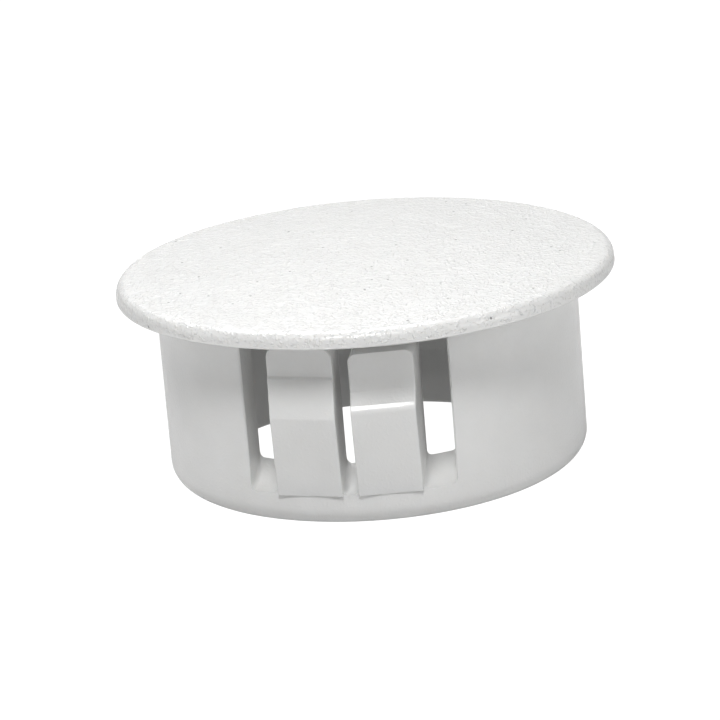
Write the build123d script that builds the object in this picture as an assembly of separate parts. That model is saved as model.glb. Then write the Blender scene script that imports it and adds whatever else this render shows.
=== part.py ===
"""Snap-in hole plug, moulded in one piece, for a 1 inch (25.4 mm) hole in sheet metal.

A thin, slightly domed head closes the hole. Under it stands a thick open barrel with two windows, one on
each side (-Y and +Y). Each window holds two snap fingers, rooted in the solid ring at the foot of the
barrel and free at the top: one catches thin panels close under the head, the other thick panels lower
down. The second window is the first one turned half a turn about the axis.

Frame: millimetres, +Z up, origin on the axis in the plane of the barrel's foot. The head is on top, so
the plug stands on its open end. The panel lies against the flat underside of the head, and every catch
is measured down from that seat.
"""
import os
from math import asin, degrees, radians, tan

from build123d import *

# The hole it fits, and the barrel that drops into it
panel_hole_diameter = 25.4
barrel_clearance = 0.2        # radial play between the barrel and the hole
wall_thickness = 2.3          # at the foot of the barrel
bore_draft = 0.4              # degrees, so that the core pulls out of the barrel
seat_height = 11.3            # foot of the barrel to the underside of the head
foot_round = 1.1              # lead-in round outside, at the foot
bore_mouth_bevel = 0.3
bore_corner_fill = 0.4        # slope between the bore and the head

# Head
head_diameter = 29.6
head_edge_thickness = 0.9
head_dome_rise = 0.5          # crown of the top above its edge
head_top_round = 0.6
head_under_bevel = 0.12

# Windows, cut by side cores that pull straight out along -Y and +Y
window_width = 12.0           # across the window, at the barrel's outside
window_draft = 5.0            # degrees, each flank closes in towards the bore
floor_depth = 9.4             # seat to the outer edge of the window floor
floor_rise = 1.15             # how far the scooped floor climbs towards the bore
root_round = 0.35             # along the foot of every flank

# Snap fingers: the same root and crest, two catches
finger_gap = 0.9              # slot between the two fingers of a window
finger_draft = 0.5            # degrees, each flank opens out towards the bore
root_stand_out = 0.05         # root of the face, outside the barrel's surface
snap_height = 0.55            # crest, outside the barrel's surface

thin_finger_width = 3.85
thin_top_gap = 0.6            # seat to the free end
thin_catch_depth = 2.33       # seat to the small ledge
thin_ledge = 0.17             # how far the ledge stands out from the neck
thin_crest_depth = 4.65
thin_crest_round = 0.6
thin_corner_round = 0.6

thick_finger_width = 3.65
thick_top_gap = 1.0
thick_catch_depth = 3.2       # seat to the foot of the sloping catch
thick_crest_depth = 4.25
thick_crest_round = 0.9
thick_corner_round = 0.45

window_relief = 0.1           # how far the side cores reach up into the underside of the head
overrun = 0.3                 # how far a cutting shape runs past the surface it cuts

barrel_radius = panel_hole_diameter / 2 - barrel_clearance
bore_radius = barrel_radius - wall_thickness
bore_top_radius = bore_radius - seat_height * tan(radians(bore_draft))
head_radius = head_diameter / 2
crest_radius = barrel_radius + snap_height
floor_height = seat_height - floor_depth


def rounded(profile, corner, radius):
    """Rounds the corner of a flat profile that lies nearest to the point given."""
    return fillet(profile.vertices().sort_by_distance(corner)[0], radius)


def turned(profile):
    """Revolves a half section about the axis. It is drawn with X as radius and Y as height."""
    return revolve(Plane.XZ * profile, Axis.Z)


def head():
    """The cover: a flat seat below, a rolled edge, and a top that is one shallow spherical crown."""
    edge_top = seat_height + head_edge_thickness
    crown = edge_top + head_dome_rise
    crown_radius = (head_radius**2 + head_dome_rise**2) / (2 * head_dome_rise)
    outline = Polyline(
        (0, crown), (0, seat_height), (head_radius - head_under_bevel, seat_height),
        (head_radius, seat_height + head_under_bevel), (head_radius, edge_top))
    profile = make_face(outline.edges() + RadiusArc((head_radius, edge_top), (0, crown), -crown_radius).edges())
    return turned(rounded(profile, (head_radius, edge_top), head_top_round))


def tube():
    """The barrel before its windows are cut: round outside at the foot, bevelled at both ends of the bore."""
    profile = make_face(Polyline(
        (bore_radius + bore_mouth_bevel, 0), (barrel_radius, 0), (barrel_radius, seat_height),
        (bore_top_radius - bore_corner_fill, seat_height), (bore_top_radius, seat_height - bore_corner_fill),
        (bore_radius, bore_mouth_bevel), (bore_radius + bore_mouth_bevel, 0)))
    return turned(rounded(profile, (barrel_radius, 0), foot_round))


def bore():
    """The space that the centre core leaves, which the backs of the fingers follow."""
    return Pos(0, 0, seat_height / 2) * Cone(bore_radius, bore_top_radius, seat_height)


def foot_ring():
    """What the side cores leave standing at the foot. Its top is level outside and climbs to the bore."""
    scoop_radius = (wall_thickness**2 + floor_rise**2) / (2 * floor_rise)
    inside = bore_radius / 3
    outside = crest_radius + wall_thickness
    top = floor_height + floor_rise + overrun
    block = make_face(Polyline((inside, 0), (outside, 0), (outside, top), (inside, top), (inside, 0)))
    return turned(block - Pos(barrel_radius, floor_height + scoop_radius) * Circle(scoop_radius))


def flank(across, out, lean):
    """One flank seen from above, as a line from outside the barrel to well inside the bore.

    It passes the point given by its distances across the window and out from the axis. The lean is how
    many degrees it turns to the right of the core's pull on its way in.
    """
    slope = tan(radians(lean))
    return [(across + (out - distance) * slope, -distance) for distance in (crest_radius + 1, bore_radius / 2)]


def strip(left, right):
    """The plan shape between two flanks."""
    return make_face(Polyline(*left, *reversed(right), left[0]))


def window_flanks():
    """The six flanks of a window from left to right: wall, thin finger, thick finger, wall."""
    half = window_width / 2
    wall = (barrel_radius**2 - half**2) ** 0.5
    inner = finger_gap / 2
    return [
        flank(-half, wall, window_draft),
        flank(-inner - thin_finger_width, barrel_radius, -finger_draft),
        flank(-inner, barrel_radius, finger_draft),
        flank(inner, barrel_radius, -finger_draft),
        flank(inner + thick_finger_width, barrel_radius, finger_draft),
        flank(half, wall, -window_draft)]


def window_plans():
    """The five strips of a window from left to right: slot, thin finger, slot, thick finger, slot."""
    flanks = window_flanks()
    return [strip(left, right) for left, right in zip(flanks, flanks[1:])]


def slot(plan):
    """The space beside a finger, from the scooped floor up to the head, with a round along each foot."""
    space = extrude(plan, seat_height) - foot_ring()
    feet = [edge for edge in space.edges().filter_by(GeomType.BSPLINE) if abs(edge.tangent_at(0.5).Y) > 0.5]
    return fillet(feet, root_round)


def thin_panel_section():
    """Half section of the finger for thin panels: a long ramp, a slow rise and one small square ledge."""
    catch = seat_height - thin_catch_depth
    free_end = seat_height - thin_top_gap
    crest = (crest_radius, seat_height - thin_crest_depth)
    outline = Polyline(
        (0, floor_height), (barrel_radius + root_stand_out, floor_height), crest,
        (barrel_radius + thin_ledge, catch), (barrel_radius, catch), (barrel_radius, free_end),
        (0, free_end), (0, floor_height))
    return rounded(make_face(outline), crest, thin_crest_round)


def thick_panel_section():
    """Half section of the finger for thick panels: the same ramp, then a steep sloping catch."""
    free_end = seat_height - thick_top_gap
    crest = (crest_radius, seat_height - thick_crest_depth)
    outline = Polyline(
        (0, floor_height), (barrel_radius + root_stand_out, floor_height), crest,
        (barrel_radius, seat_height - thick_catch_depth), (barrel_radius, free_end),
        (0, free_end), (0, floor_height))
    return rounded(make_face(outline), crest, thick_crest_round)


def finger(section, plan, free_end, corner_round):
    """A flat-faced finger: its section drawn out sideways, square to its own middle, between its flanks."""
    middle = plan.center().X
    turn = -90 + degrees(asin(middle / barrel_radius))
    bar = Rot(0, 0, turn) * extrude(Plane.XZ * section, window_width, both=True)
    block = (bar & extrude(plan, seat_height)) - bore()
    corners = [edge for edge in block.edges()
               if abs(edge.center().Z - free_end) < 0.001 and abs(edge.tangent_at(0.5).Y) > 0.9]
    return fillet(corners, corner_round)


def relief():
    """The shallow step that a side core leaves in the underside of the head, out to the panel's hole."""
    left, *_, right = window_flanks()
    blade = extrude(strip(left, right), window_relief)
    reach = Cylinder(panel_hole_diameter / 2, window_relief, align=(Align.CENTER, Align.CENTER, Align.MIN))
    core = Cylinder(bore_top_radius, window_relief, align=(Align.CENTER, Align.CENTER, Align.MIN))
    return Pos(0, 0, seat_height) * (blade & reach - core)


def hole_plug():
    """The whole moulding: the barrel with its windows and fingers, hung from the head's seat."""
    left_slot, thin_plan, middle_slot, thick_plan, right_slot = window_plans()
    slots = [slot(plan) for plan in (left_slot, middle_slot, right_slot)]
    beds = [Pos(0, 0, floor_height) * extrude(plan, floor_depth) for plan in (thin_plan, thick_plan)]
    fingers = [
        finger(thin_panel_section(), thin_plan, seat_height - thin_top_gap, thin_corner_round),
        finger(thick_panel_section(), thick_plan, seat_height - thick_top_gap, thick_corner_round)]
    barrel = tube()
    cover = head()
    for turn in (0, 180):
        barrel -= [Rot(0, 0, turn) * space for space in slots + beds]
        barrel += [Rot(0, 0, turn) * each for each in fingers]
        cover -= Rot(0, 0, turn) * relief()
    return barrel + cover


plug = hole_plug()
plug.label = "hole_plug"
os.makedirs("parts", exist_ok=True)
export_step(plug, "parts/hole_plug.step")
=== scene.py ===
"""Snap-in hole plug in natural nylon: a pebbled, slightly domed head over a thick open barrel, with two
windows that hold a thin-panel and a thick-panel snap finger each. Lengths are in millimetres while a
shape is worked out, and in metres once it is a mesh. The front window faces -Y."""

import bmesh
import bpy
import numpy as np
from mathutils import Matrix, Vector


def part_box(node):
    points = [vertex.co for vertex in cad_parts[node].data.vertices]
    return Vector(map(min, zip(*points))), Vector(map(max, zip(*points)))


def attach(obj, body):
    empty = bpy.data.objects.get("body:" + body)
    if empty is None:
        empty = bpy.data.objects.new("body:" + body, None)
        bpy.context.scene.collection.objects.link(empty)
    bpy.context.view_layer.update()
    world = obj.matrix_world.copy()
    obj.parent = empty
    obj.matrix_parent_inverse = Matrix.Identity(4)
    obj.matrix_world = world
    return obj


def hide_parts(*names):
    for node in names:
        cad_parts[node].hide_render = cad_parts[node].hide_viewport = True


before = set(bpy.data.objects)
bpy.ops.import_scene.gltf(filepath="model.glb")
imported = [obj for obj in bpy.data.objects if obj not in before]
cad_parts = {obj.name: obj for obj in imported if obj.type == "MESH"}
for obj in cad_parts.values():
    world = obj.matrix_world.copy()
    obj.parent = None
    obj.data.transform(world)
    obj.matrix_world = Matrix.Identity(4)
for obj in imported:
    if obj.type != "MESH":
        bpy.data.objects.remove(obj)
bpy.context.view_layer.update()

# --- Head -------------------------------------------------------------------------------------------
# The cover that lies on the panel: a 0.9 mm thick disc of nylon with a rolled edge and a shallow crown.
# The mould is spark-eroded there, so the top has a fine pebbled grain that holds a few specks of dust.
# The underside is flat and plain: it is the seat on the panel, and the ceiling of the barrel.
MM = 0.001
head_radius, _, crown_height = np.array(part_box("hole_plug")[1]) / MM
seat_height = 11.3
edge_height = seat_height + 0.9
edge_round = 0.6
under_round = 0.12
grain_across = 225          # points across the head, about 0.13 mm apart
grain_depth = 0.035
coarse_pebble = 0.28
fine_pebble = 0.18
grained_from = seat_height + 0.15
lattice_size = 64
seat_reach = 2.5            # from the rim in to where the flat underside begins

rng = np.random.default_rng(11)


def rounded_path(corners, radii, steps=8):
    """Straight runs through the corners, each corner cut short and bridged by an arc of its radius.

    The arc starts and ends at radius x tan(half the turn) from the corner, and its points are
    centre + radius x (cos a, sin a) for even steps of a through the turn.
    """
    corners = np.asarray(corners, float)
    points = [corners[:1]]
    for before, corner, after, radius in zip(corners, corners[1:], corners[2:], radii):
        inward = (before - corner) / np.linalg.norm(before - corner)
        onward = (after - corner) / np.linalg.norm(after - corner)
        half_angle = np.arccos(np.clip(inward @ onward, -1, 1)) / 2
        bisector = (inward + onward) / np.linalg.norm(inward + onward)
        centre = corner + bisector * radius / np.sin(half_angle)
        start = corner + inward * radius / np.tan(half_angle) - centre
        end = corner + onward * radius / np.tan(half_angle) - centre
        turn = np.arctan2(start[0] * end[1] - start[1] * end[0], start @ end) * np.linspace(0, 1, steps)
        points.append(centre + np.stack([start[0] * np.cos(turn) - start[1] * np.sin(turn),
                                         start[0] * np.sin(turn) + start[1] * np.cos(turn)], -1))
    points.append(corners[-1:])
    return np.concatenate(points)


def turned(path, angles):
    """Carries a (radius, height) path round the axis: x = radius cos a, y = radius sin a."""
    radius, height = path[:, :1], path[:, 1:]
    return np.stack(np.broadcast_arrays(radius * np.cos(angles), radius * np.sin(angles), height), -1)


def pebble(points, spacing):
    """A smooth random height from 0 to 1: random values on a cubic lattice of this spacing, blended
    between the eight nearest ones by the smooth step 3t^2 - 2t^3 along each axis."""
    lattice = rng.random((lattice_size,) * 3)
    place = points / spacing
    cell = np.floor(place).astype(int)
    t = place - cell
    t = t * t * (3 - 2 * t)
    height = np.zeros(points.shape[:-1])
    for dx, dy, dz in np.ndindex(2, 2, 2):
        weight = (np.where(dx, t[..., 0], 1 - t[..., 0]) * np.where(dy, t[..., 1], 1 - t[..., 1])
                  * np.where(dz, t[..., 2], 1 - t[..., 2]))
        corner = (cell + [dx, dy, dz]) % lattice_size
        height += weight * lattice[corner[..., 0], corner[..., 1], corner[..., 2]]
    return height


def disc(radius, count):
    """Even square cells bent onto a disc: the square ring at distance q from the middle becomes the
    circle of radius q, each of its four sides spread evenly over a quarter turn."""
    a, b = np.meshgrid(np.linspace(-1, 1, count), np.linspace(-1, 1, count), indexing="ij")
    wide = np.abs(a) > np.abs(b)
    reach = np.where(wide, a, b)
    safe = np.where(reach == 0, 1, reach)
    angle = np.where(wide, np.pi / 4 * b / safe, np.pi / 2 - np.pi / 4 * a / safe)
    return radius * reach * np.cos(angle), radius * reach * np.sin(angle)


def quads(rows, columns, start=0, closed_rows=False, closed_columns=False):
    """Corner numbers of the cells of a grid, joined end to start where it is closed."""
    index = start + np.arange(rows * columns).reshape(rows, columns)
    if closed_rows:
        index = np.concatenate([index, index[:1]])
    if closed_columns:
        index = np.concatenate([index, index[:, :1]], 1)
    cells = np.stack([index[:-1, :-1], index[:-1, 1:], index[1:, 1:], index[1:, :-1]], -1)
    return cells.reshape(-1, 4)


crown_radius = (head_radius**2 + (crown_height - edge_height)**2) / (2 * (crown_height - edge_height))
top_edge = head_radius - 2
rim = rounded_path(
    [(top_edge, crown_height - top_edge**2 / (2 * crown_radius)), (head_radius, edge_height),
     (head_radius, seat_height), (head_radius - seat_reach, seat_height)], [edge_round, under_round], 9)
rim = np.concatenate([rim[1:-1], [(head_radius - seat_reach, seat_height), (9, seat_height),
                                  (4, seat_height), (0, seat_height)]])
top_x, top_y = disc(rim[0, 0], grain_across)
top = np.stack([top_x, top_y, crown_height - (top_x**2 + top_y**2) / (2 * crown_radius)], -1)
top[..., 2] += rim[0, 1] - top[0, 0, 2]
top_facing = np.stack([top_x / crown_radius, top_y / crown_radius, np.ones_like(top_x)], -1)

rim_angles = np.pi / 4 + np.arange(4 * (grain_across - 1)) * np.pi / 2 / (grain_across - 1)
edge = turned(rim, rim_angles)
along = np.gradient(rim, axis=0)
along /= np.linalg.norm(along, axis=1)[:, None] + 1e-12
edge_facing = turned(np.stack([-along[:, 1], along[:, 0]], -1), rim_angles)
edge_facing[0] = np.stack([np.cos(rim_angles) * rim[0, 0] / crown_radius,
                           np.sin(rim_angles) * rim[0, 0] / crown_radius, np.ones_like(rim_angles)], -1)

head_points = np.concatenate([top.reshape(-1, 3), edge.reshape(-1, 3)])
head_facing = np.concatenate([top_facing.reshape(-1, 3), edge_facing.reshape(-1, 3)])
coarse, fine = pebble(head_points, coarse_pebble), pebble(head_points, fine_pebble)
grain = grain_depth * (0.7 * coarse + 0.3 * fine)
grain *= np.clip(head_facing[:, 2] * 4 + 1, 0, 1)
head_points -= head_facing * grain[:, None]
head_quads = np.concatenate([quads(grain_across, grain_across),
                             quads(*edge.shape[:2], start=grain_across**2, closed_columns=True)])

# --- Barrel -----------------------------------------------------------------------------------------
# The thick tube that drops into the panel hole, all in one with the head. Side cores shape a window in
# front and behind, and leave a full ring at the foot whose top is scooped up towards the bore.
# It has a round lead-in at the foot, and the bore opens out towards the foot so that its core pulls.
barrel_radius = 12.5
bore_radius = 10.2
bore_draft = np.tan(np.radians(0.4))
foot_round = 1.1
mouth_round = 0.3
window_half = 6.0
window_draft = np.tan(np.radians(5.0))
floor_height = seat_height - 9.4
floor_rise = 1.15
root_round = 0.35
corner_round = 0.1
finger_gap = 0.9
finger_draft = np.tan(np.radians(0.5))
thin_width = 3.85
thick_width = 3.65
sunk = 0.3                  # how far the walls run up into the head

window_flank = window_half + window_draft * (barrel_radius - np.sqrt(barrel_radius**2 - window_half**2))
# the six flanks of a window, left to right: distance across it at the barrel's skin, and lean inwards
flank_across = np.array([-window_flank, -finger_gap / 2 - thin_width, -finger_gap / 2,
                         finger_gap / 2, finger_gap / 2 + thick_width, window_flank])
flank_lean = np.array([window_draft, -finger_draft, finger_draft,
                       -finger_draft, finger_draft, -window_draft])
to_corner = np.linspace(0, 1, 6)
to_middle = np.linspace(0, 1, 42)[1:]


def bore_at(height):
    """Radius of the bore: it narrows upwards by its draft."""
    return bore_radius - bore_draft * height


def on_circle(angle, radius, height):
    """Points at an angle from the middle of the front window: x = r sin a, y = -r cos a."""
    return np.stack(np.broadcast_arrays(radius * np.sin(angle), -radius * np.cos(angle), height), -1)


def angle_on(radius, across, lean):
    """Angle at which the line across + lean x (barrel radius - distance out) meets the circle.

    From across / radius = sin a, corrected four times for the lean at the depth that a gives.
    """
    angle = np.arcsin(across / radius)
    for _ in range(4):
        angle = np.arcsin((across + lean * (barrel_radius - radius * np.cos(angle))) / radius)
    return angle


def wall_angles(flank, skin):
    """Angles from a window's flank to the middle of the wall beside it: first over the corner, which
    takes up the angle of skin, then evenly."""
    side = np.sign(flank)
    rest = side * (np.pi / 2 - skin) - flank
    return np.concatenate([flank + side * skin * to_corner, flank + side * skin + to_middle * rest])


def window_columns():
    """Lines across one window, as (across, lean, height above the scooped floor).

    Beside a flank the floor turns up in a quarter circle: distance = r (1 - cos t) and
    height = r (1 - sin t). Under a finger it stays up, out of sight inside the finger.
    """
    turn = np.linspace(0, np.pi / 2, 7)
    off, up = root_round * (1 - np.cos(turn)), root_round * (1 - np.sin(turn))
    columns = []
    for strip in range(5):
        left, right = flank_across[strip], flank_across[strip + 1]
        if strip % 2:
            across = np.linspace(left, right, 14)[1:-1]
            height = np.full(across.shape, root_round)
        else:
            middle = np.linspace(left + root_round, right - root_round, 6)[1:-1]
            across = np.concatenate([left + off, middle, (right - off)[::-1]])
            height = np.concatenate([up, 0 * middle, up[::-1]])
        share = (across - left) / (right - left)
        lean = flank_lean[strip] * (1 - share) + flank_lean[strip + 1] * share
        columns.append(np.stack([across, lean, height], -1))
    return np.concatenate(columns)


def barrel_grid():
    """Half of the barrel, from the middle of the left wall over the front window to the right one.

    Each column is a closed path: up the outside, over the top, down the bore and across the foot. In a
    window the top is the scooped floor, height = floor + s - sqrt(s^2 - depth^2). At a wall it runs on up
    to the head and down again, so the cells between the last of one and the first of the other are the
    window's flank.
    """
    window = window_columns()
    out_window = angle_on(barrel_radius, window[:, 0], window[:, 1])
    in_window = angle_on(bore_radius, window[:, 0], window[:, 1])
    skin = corner_round / barrel_radius
    out_left, in_left = wall_angles(out_window[0], skin)[::-1], wall_angles(in_window[0], 0)[::-1]
    out_right, in_right = wall_angles(out_window[-1], skin), wall_angles(in_window[-1], 0)
    out_angle = np.concatenate([out_left, out_window, out_right])
    in_angle = np.concatenate([in_left, in_window, in_right])
    first, last = len(out_left), len(out_left) + len(out_window)
    is_wall = np.ones(len(out_angle), bool)
    is_wall[first:last] = False
    lift = np.full(len(out_angle), root_round)
    lift[first:last] = window[:, 2]
    inset = np.zeros_like(out_angle)
    bend = (1 - to_corner)**2 * corner_round
    inset[first - len(bend):first] = bend[::-1]
    inset[last:last + len(bend)] = bend

    rows = []
    turn = np.linspace(0, np.pi / 2, 11)[:, None]
    rows.append(on_circle(out_angle, barrel_radius - foot_round + foot_round * np.sin(turn),
                          foot_round - foot_round * np.cos(turn)))
    climb = np.linspace(0, 1, 5)[1:-1, None]
    lip = floor_height + lift
    rows.append(on_circle(out_angle, barrel_radius, foot_round + (lip - foot_round) * climb))
    outer_foot = on_circle(out_angle, barrel_radius, lip)
    inner_lip = floor_height + floor_rise + lift
    inner_foot = on_circle(in_angle, bore_at(inner_lip), inner_lip)
    share = np.linspace(0, 1, 24)[:, None, None]
    floor = outer_foot * (1 - share) + inner_foot * share
    depth = barrel_radius - np.hypot(floor[..., 0], floor[..., 1])
    scoop = ((barrel_radius - bore_radius)**2 + floor_rise**2) / (2 * floor_rise)
    floor[..., 2] = lip + scoop - np.sqrt(scoop**2 - depth**2)
    top = seat_height + sunk
    up = np.linspace(0, 1, 11)[:, None]
    wall_up = on_circle(out_angle, barrel_radius - inset * np.clip(up * 10, 0, 1), lip + (top - lip) * up)
    down = top + (inner_lip - top) * up
    wall_down = on_circle(in_angle, bore_at(down), down)
    half = 0.5 * (wall_up[-1:] + wall_down[:1])
    wall = np.concatenate([wall_up, half, half, wall_down])
    rows.append(np.where(is_wall[:, None], wall, floor))
    fall = mouth_round + (inner_lip - mouth_round) * (1 - climb)
    rows.append(on_circle(in_angle, bore_at(fall), fall))
    turn = np.linspace(0, np.pi / 2, 6)[:, None]
    rows.append(on_circle(in_angle, bore_radius + mouth_round * (1 - np.cos(turn)),
                          mouth_round * (1 - np.sin(turn))))
    return np.concatenate(rows)[:, :-1]


front_half = barrel_grid()
barrel = np.concatenate([front_half, front_half * [-1, -1, 1]], 1)
barrel_points = barrel.reshape(-1, 3)
barrel_quads = quads(*barrel.shape[:2], closed_rows=True, closed_columns=True)

# --- Snap fingers -----------------------------------------------------------------------------------
# Two springy tongues in each window, all in one with the foot ring and free under the head. The left one
# has a small steep ledge for thin panels, the right one a longer slope for thick panels.
# Both have a flat face, square to their own middle, and a back that follows the bore.
root_stand_out = 0.05
snap_height = 0.55
edge_break = 0.1
back_gap = 0.01             # the backs stand this far off the bore's own surface
thin_top = seat_height - 0.6
thick_top = seat_height - 1.0
crest = barrel_radius + snap_height
root = (barrel_radius + root_stand_out, floor_height)
thin_face = rounded_path(
    [root, (crest, seat_height - 4.65), (barrel_radius + 0.17, seat_height - 2.41),
     (barrel_radius, seat_height - 2.27), (barrel_radius, thin_top)], [0.6, 0.06, 0.05], 9)
thick_face = rounded_path(
    [root, (crest, seat_height - 4.25), (barrel_radius + 0.31, seat_height - 3.97),
     (barrel_radius, seat_height - 3.2), (barrel_radius, thick_top)], [0.45, 0.12, 0.04], 10)


def run(start, end, count):
    """Points spread evenly from start to end, slice by slice."""
    share = np.linspace(0, 1, count)[None, :, None]
    return start[:, None] * (1 - share) + end[:, None] * share


def broken(corner, before, after):
    """The sharp edge taken off: the curve start (1 - t)^2 + 2 corner t (1 - t) + end t^2, which starts
    and ends edge_break away from the corner."""
    start = corner + (before - corner) * edge_break / np.linalg.norm(before - corner, axis=1)[:, None]
    end = corner + (after - corner) * edge_break / np.linalg.norm(after - corner, axis=1)[:, None]
    t = np.linspace(0, 1, 5)[None, :, None]
    return start[:, None] * (1 - t)**2 + 2 * corner[:, None] * t * (1 - t) + end[:, None] * t**2


def finger(face, left, right, tip_round):
    """A closed tongue built up in level slices. Each slice is a flat front at the face's distance, two
    flanks, and an arc of the bore; near the tip both flanks draw in by r - sqrt(r^2 - rise^2)."""
    tip = face[-1, 1]
    rise = tip_round * np.sin(np.linspace(0, np.pi / 2, 10))
    heights = np.concatenate([face[:-1, 1], tip - tip_round + rise])
    out = np.concatenate([face[:-1, 0], np.full(rise.shape, face[-1, 0])])
    above = np.clip(heights - (tip - tip_round), 0, tip_round)
    draw_in = tip_round - np.sqrt(np.maximum(tip_round**2 - above**2, 0))
    middle = np.arcsin((flank_across[left] + flank_across[right]) / 2 / barrel_radius)
    sides = []
    for flank, sign in ((left, 1), (right, -1)):
        across = flank_across[flank] + sign * draw_in
        lean = flank_lean[flank]
        along = ((across + lean * (barrel_radius - out * np.cos(middle)) - out * np.sin(middle))
                 / (np.cos(middle) - lean * np.sin(middle)))
        front = np.stack([out * np.sin(middle) + along * np.cos(middle),
                          out * np.cos(middle) - along * np.sin(middle)], -1)
        back_radius = bore_at(heights) + back_gap
        back_angle = angle_on(back_radius, across, lean)
        back = np.stack([back_radius * np.sin(back_angle), back_radius * np.cos(back_angle)], -1)
        sides.append((front, back, back_angle, back_radius))
    (front_left, back_left, angle_left, radius), (front_right, back_right, angle_right, _) = sides
    right_edge = broken(front_right, front_left, back_right)
    left_edge = broken(front_left, back_left, front_right)
    share = np.linspace(0, 1, 10)[None]
    arc_angle = angle_right[:, None] * (1 - share) + angle_left[:, None] * share
    arc = np.stack([radius[:, None] * np.sin(arc_angle), radius[:, None] * np.cos(arc_angle)], -1)
    loop = np.concatenate([
        left_edge, run(left_edge[:, -1], right_edge[:, 0], 8)[:, 1:-1],
        right_edge, run(right_edge[:, -1], back_right, 5)[:, 1:-1],
        arc, run(back_left, left_edge[:, 0], 5)[:, 1:-1]], 1)
    slices = np.stack([loop[..., 0], -loop[..., 1],
                       np.broadcast_to(heights[:, None], loop.shape[:2])], -1)
    foot = np.broadcast_to(slices[0].mean(0), slices[:1].shape)
    end = np.broadcast_to(slices[-1].mean(0), slices[:1].shape)
    return np.concatenate([foot, slices, end])


front_fingers = [finger(thin_face, 1, 2, 0.6), finger(thick_face, 3, 4, 0.45)]
fingers = front_fingers + [grid * [-1, -1, 1] for grid in front_fingers]

# --- The moulding -----------------------------------------------------------------------------------
# Head, barrel and fingers leave the mould as one piece of natural, off-white nylon, with a satin skin.
# The few specks and the faint mottling are those of undyed resin.
mesh = bpy.data.meshes.new("moulding")
parts = [(head_points, head_quads), (barrel_points, barrel_quads)]
parts += [(grid.reshape(-1, 3), quads(*grid.shape[:2], closed_columns=True)) for grid in fingers]
starts = np.cumsum([0] + [len(points) for points, _ in parts])
points = np.concatenate([points for points, _ in parts]) * MM
faces = np.concatenate([cells + start for (_, cells), start in zip(parts, starts)])
mesh.from_pydata(points, [], faces.tolist())
sealed = bmesh.new()
sealed.from_mesh(mesh)
bmesh.ops.remove_doubles(sealed, verts=sealed.verts, dist=0.0008 * MM)
bmesh.ops.dissolve_degenerate(sealed, edges=sealed.edges, dist=0.0005 * MM)
bmesh.ops.recalc_face_normals(sealed, faces=sealed.faces)
sealed.to_mesh(mesh)
sealed.free()
mesh.shade_smooth()
mesh.set_sharp_from_angle(angle=np.radians(32))
plug = bpy.data.objects.new("plug_moulding", mesh)
bpy.context.collection.objects.link(plug)

nylon = bpy.data.materials.new("natural_nylon")
nylon.use_nodes = True
nodes, links = nylon.node_tree.nodes, nylon.node_tree.links
shader = nodes["Principled BSDF"]
shader.inputs["IOR"].default_value = 1.53
shader.inputs["Coat Weight"].default_value = 0.75
shader.inputs["Coat Roughness"].default_value = 0.18
shader.inputs["Subsurface Weight"].default_value = 0.12
shader.inputs["Subsurface Radius"].default_value = (1.0, 0.9, 0.8)
shader.inputs["Subsurface Scale"].default_value = 0.0012
place = nodes.new("ShaderNodeTexCoord")
mottle = nodes.new("ShaderNodeTexNoise")
mottle.inputs["Scale"].default_value = 420
mottle.inputs["Detail"].default_value = 4
links.new(place.outputs["Object"], mottle.inputs["Vector"])
tint = nodes.new("ShaderNodeValToRGB")
tint.color_ramp.elements[0].position = 0.3
tint.color_ramp.elements[0].color = (0.82, 0.82, 0.81, 1)
tint.color_ramp.elements[1].position = 0.7
tint.color_ramp.elements[1].color = (0.85, 0.85, 0.84, 1)
links.new(mottle.outputs["Fac"], tint.inputs["Fac"])
specks = nodes.new("ShaderNodeTexVoronoi")
specks.inputs["Scale"].default_value = 1100
links.new(place.outputs["Object"], specks.inputs["Vector"])
speck_edge = nodes.new("ShaderNodeMapRange")
speck_edge.inputs["From Min"].default_value = 0.06
speck_edge.inputs["From Max"].default_value = 0.11
speck_edge.inputs["To Min"].default_value = 0.75
speck_edge.inputs["To Max"].default_value = 0.0
links.new(specks.outputs["Distance"], speck_edge.inputs["Value"])
speck_choice = nodes.new("ShaderNodeMath")
speck_choice.operation = "GREATER_THAN"
speck_choice.inputs[1].default_value = 0.6
links.new(specks.outputs["Color"], speck_choice.inputs[0])
speck_strength = nodes.new("ShaderNodeMath")
speck_strength.operation = "MULTIPLY"
links.new(speck_edge.outputs["Result"], speck_strength.inputs[0])
links.new(speck_choice.outputs["Value"], speck_strength.inputs[1])
height = nodes.new("ShaderNodeSeparateXYZ")
links.new(place.outputs["Object"], height.inputs["Vector"])
on_top = nodes.new("ShaderNodeMath")
on_top.operation = "GREATER_THAN"
on_top.inputs[1].default_value = grained_from * MM
links.new(height.outputs["Z"], on_top.inputs[0])
top_specks = nodes.new("ShaderNodeMath")
top_specks.operation = "MULTIPLY"
links.new(speck_strength.outputs["Value"], top_specks.inputs[0])
links.new(on_top.outputs["Value"], top_specks.inputs[1])
dirtied = nodes.new("ShaderNodeMix")
dirtied.data_type = "RGBA"
dirtied.inputs["B"].default_value = (0.12, 0.12, 0.11, 1)
links.new(top_specks.outputs["Value"], dirtied.inputs["Factor"])
links.new(tint.outputs["Color"], dirtied.inputs["A"])
links.new(dirtied.outputs["Result"], shader.inputs["Base Color"])
skin = nodes.new("ShaderNodeTexNoise")
skin.inputs["Scale"].default_value = 5200
skin.inputs["Detail"].default_value = 1
links.new(place.outputs["Object"], skin.inputs["Vector"])
skin_strength = nodes.new("ShaderNodeMapRange")
skin_strength.inputs["To Min"].default_value = 0.16
skin_strength.inputs["To Max"].default_value = 1.0
links.new(on_top.outputs["Value"], skin_strength.inputs["Value"])
skin_bump = nodes.new("ShaderNodeBump")
skin_bump.inputs["Distance"].default_value = 0.000037
links.new(skin_strength.outputs["Result"], skin_bump.inputs["Strength"])
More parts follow.
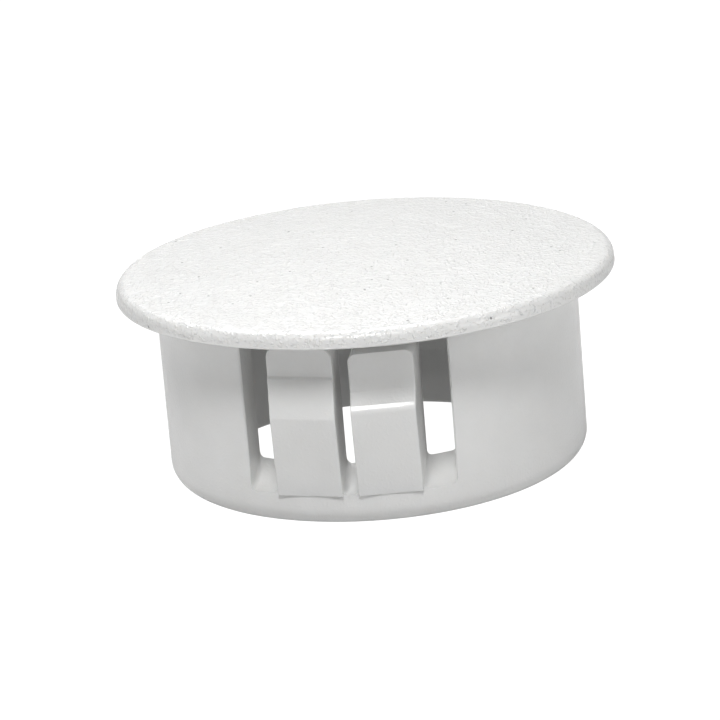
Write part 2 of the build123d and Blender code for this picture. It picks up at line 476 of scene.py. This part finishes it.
pimples = nodes.new("ShaderNodeMapRange")
pimples.interpolation_type = "SMOOTHSTEP"
pimples.inputs["From Min"].default_value = 0.5
pimples.inputs["From Max"].default_value = 0.72
links.new(skin.outputs["Fac"], pimples.inputs["Value"])
links.new(pimples.outputs["Result"], skin_bump.inputs["Height"])
links.new(skin_bump.outputs["Normal"], shader.inputs["Normal"])
links.new(skin_bump.outputs["Normal"], shader.inputs["Coat Normal"])
sheen = nodes.new("ShaderNodeMapRange")
sheen.inputs["To Min"].default_value = 0.38
sheen.inputs["To Max"].default_value = 0.42
links.new(mottle.outputs["Fac"], sheen.inputs["Value"])
links.new(sheen.outputs["Result"], shader.inputs["Roughness"])
mesh.materials.append(nylon)

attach(plug, "root")
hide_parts("hole_plug")

# --- Studio -----------------------------------------------------------------------------------------
# A white, softly glowing table. A high front light shapes the barrel and the fingers, the lights behind
# and above brighten the head, and a weak one on each side lifts the walls.
table = bpy.data.meshes.new("table")
reach = 0.9
table_height = -0.02 * MM
table.from_pydata([(-reach, -reach, table_height), (reach, -reach, table_height),
                   (reach, reach, table_height), (-reach, reach, table_height)], [], [(0, 1, 2, 3)])
table_top = bpy.data.objects.new("table", table)
bpy.context.collection.objects.link(table_top)
white = bpy.data.materials.new("table_white")
white.use_nodes = True
nodes, links = white.node_tree.nodes, white.node_tree.links
white_shader = nodes["Principled BSDF"]
white_shader.inputs["Base Color"].default_value = (0.48, 0.48, 0.48, 1)
white_shader.inputs["Roughness"].default_value = 0.9
white_shader.inputs["Emission Color"].default_value = (1, 1, 1, 1)
white_shader.inputs["Emission Strength"].default_value = 0.17
glow = nodes.new("ShaderNodeEmission")
glow.inputs["Strength"].default_value = 1.1
seen = nodes.new("ShaderNodeLightPath")
mix = nodes.new("ShaderNodeMixShader")
links.new(seen.outputs["Is Camera Ray"], mix.inputs["Fac"])
links.new(white_shader.outputs["BSDF"], mix.inputs[1])
links.new(glow.outputs["Emission"], mix.inputs[2])
links.new(mix.outputs["Shader"], nodes["Material Output"].inputs["Surface"])
table.materials.append(white)

world = bpy.data.worlds.new("studio")
bpy.context.scene.world = world
world.use_nodes = True
world.node_tree.nodes["Background"].inputs["Color"].default_value = (1, 1, 1, 1)
world.node_tree.nodes["Background"].inputs["Strength"].default_value = 0.0


def soft_light(name, spot, aim, width, height, power):
    """An oblong area light at a spot, turned to face the aim."""
    light = bpy.data.lights.new(name, "AREA")
    light.shape = "RECTANGLE"
    light.size = width
    light.size_y = height
    light.energy = power
    lamp = bpy.data.objects.new(name, light)
    lamp.location = spot
    lamp.rotation_euler = (Vector(aim) - Vector(spot)).to_track_quat("-Z", "Y").to_euler()
    bpy.context.collection.objects.link(lamp)


plug_middle = (0, 0, 0.006)
soft_light("key", (0, -0.212, 0.340), plug_middle, 0.12, 0.10, 0.96)
soft_light("rear", (-0.08, 0.245, 0.31), plug_middle, 0.16, 0.16, 0.97)
soft_light("backdrop", (0, 0.6, 0.16), plug_middle, 0.9, 0.36, 0.52)
soft_light("top", (0, 0.02, 0.40), plug_middle, 0.25, 0.25, 0.12)
soft_light("left", (-0.36, -0.08, 0.14), plug_middle, 0.20, 0.20, 0.24)
soft_light("right", (0.33, -0.16, 0.13), plug_middle, 0.20, 0.20, 0.33)

# The camera stands a little to the right of the front window, 17 degrees up, and leans to its left.
camera_turn, camera_rise, camera_lean = np.radians([8.7, 16.99, 4.875])
camera_distance = 226.88 * MM
aim_across, aim_down = -0.729 * MM, 5.179 * MM
turn = Matrix.Rotation(camera_turn, 3, "Z")
aim = turn @ Vector((aim_across, 0, 0)) + Vector((0, 0, seat_height * MM - aim_down))
outward = turn @ Vector((0, -np.cos(camera_rise), np.sin(camera_rise)))
level = turn @ Vector((1, 0, 0))
upward = outward.cross(level)
right = level * np.cos(camera_lean) - upward * np.sin(camera_lean)
up = level * np.sin(camera_lean) + upward * np.cos(camera_lean)
lens = bpy.data.cameras.new("camera")
lens.lens = 190.0
lens.sensor_width = 36.0
lens.clip_start = 0.01
camera = bpy.data.objects.new("camera", lens)
stand = Matrix.Translation(aim + outward * camera_distance)
camera.matrix_world = stand @ Matrix((right, up, outward)).transposed().to_4x4()
bpy.context.collection.objects.link(camera)
bpy.context.scene.camera = camera
bpy.context.scene.view_settings.view_transform = "Standard"
